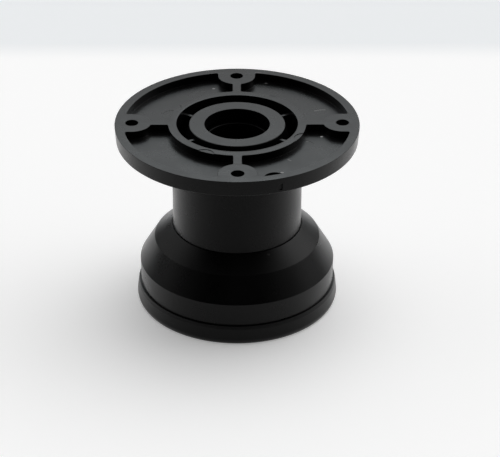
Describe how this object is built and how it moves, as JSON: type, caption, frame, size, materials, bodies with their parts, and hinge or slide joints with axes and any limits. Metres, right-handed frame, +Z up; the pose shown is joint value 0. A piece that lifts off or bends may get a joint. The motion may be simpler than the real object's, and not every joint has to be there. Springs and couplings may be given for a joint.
{
  "type": "furniture foot",
  "caption": "Black plastic height-adjustable furniture foot: ribbed screw-on flange, stem, flared bell cover and a low round base on a threaded post.",
  "frame": {"origin": "centre of the base's underside, on the floor", "axes": "+Z up along the thread's axis, through the flange that is screwed to the furniture; the screw holes lie on X and Y"},
  "size_m": [0.08, 0.08, 0.0645],
  "materials": {
    "flange_plastic": "satin black, fine moulded texture",
    "bell_plastic": "satin black",
    "base_plastic": "satin black"
  },
  "bodies": {
    "flange_body": {"mounting_flange": "flange_plastic"},
    "cover_body": {"bell_cover": "bell_plastic"},
    "base_body": {"base_foot": "base_plastic"}
  },
  "joints": [
    {"name": "height_slide", "type": "slide", "parent": "flange_body", "child": "cover_body", "axis": [0, 0, -1], "range_m": [0, 0.012]},
    {"name": "base_turn", "type": "hinge", "parent": "cover_body", "child": "base_body", "pos_m": [0, 0, 0.004], "axis": [0, 0, -1], "range_deg": [0, 1080]}
  ],
  "couplings": [
    {"joint": "height_slide", "follows": "base_turn", "m_per_rad": 0.0006366}
  ]
}
